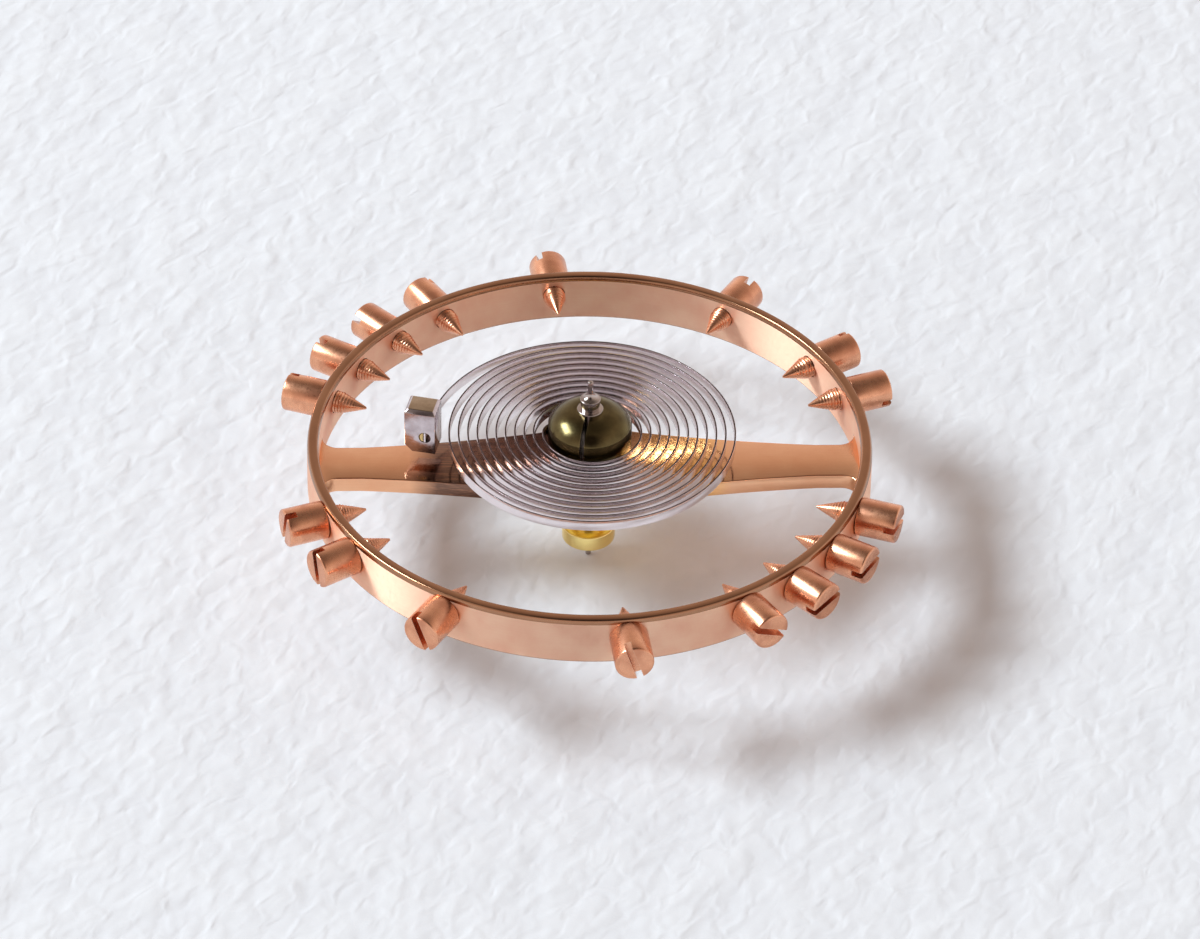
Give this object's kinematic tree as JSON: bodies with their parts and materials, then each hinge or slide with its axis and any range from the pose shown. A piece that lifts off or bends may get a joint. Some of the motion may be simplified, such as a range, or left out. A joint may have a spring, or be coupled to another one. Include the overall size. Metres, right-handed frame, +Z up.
{
  "type": "balance wheel",
  "caption": "Screwed two-arm watch balance on a pivoted staff, with a double roller below and a flat hairspring in a collet above, pinned to its stud.",
  "frame": {"origin": "tip of the lower pivot, on the staff's axis", "axes": "+Z up the staff to the hairspring's side, +X along one arm of the wheel"},
  "size_m": [0.011, 0.0114, 0.0039],
  "materials": {
    "wheel_alloy": "polished",
    "screw_alloy": "polished",
    "polished_steel": "polished",
    "roller_brass": "polished",
    "ruby": "polished",
    "collet_brass": "polished",
    "pin_brass": "drawn",
    "spring_steel": "rolled and polished",
    "stud_steel": "polished"
  },
  "bodies": {
    "spring_anchor": {"stud": "stud_steel", "stud_pin": "pin_brass", "hairspring": "spring_steel"},
    "balance": {"balance_wheel": "wheel_alloy", "balance_staff": "polished_steel", "double_roller": "roller_brass", "impulse_jewel": "ruby", "collet": "collet_brass", "collet_pin": "pin_brass", "balance_screw_01": "screw_alloy", "balance_screw_02": "screw_alloy", "balance_screw_03": "screw_alloy", "balance_screw_04": "screw_alloy", "balance_screw_05": "screw_alloy", "balance_screw_06": "screw_alloy", "balance_screw_07": "screw_alloy", "balance_screw_08": "screw_alloy", "balance_screw_09": "screw_alloy", "balance_screw_10": "screw_alloy", "balance_screw_11": "screw_alloy", "balance_screw_12": "screw_alloy", "balance_screw_13": "screw_alloy", "balance_screw_14": "screw_alloy", "balance_screw_15": "screw_alloy", "balance_screw_16": "screw_alloy"}
  },
  "joints": [
    {"name": "balance_swing", "type": "hinge", "parent": "spring_anchor", "child": "balance", "pos_m": [0, 0, 0.0019], "axis": [0, 0, 1], "range_deg": [-300, 300], "stiffness_Nm_per_rad": 0.0000006, "deforming": ["hairspring"]}
  ]
}
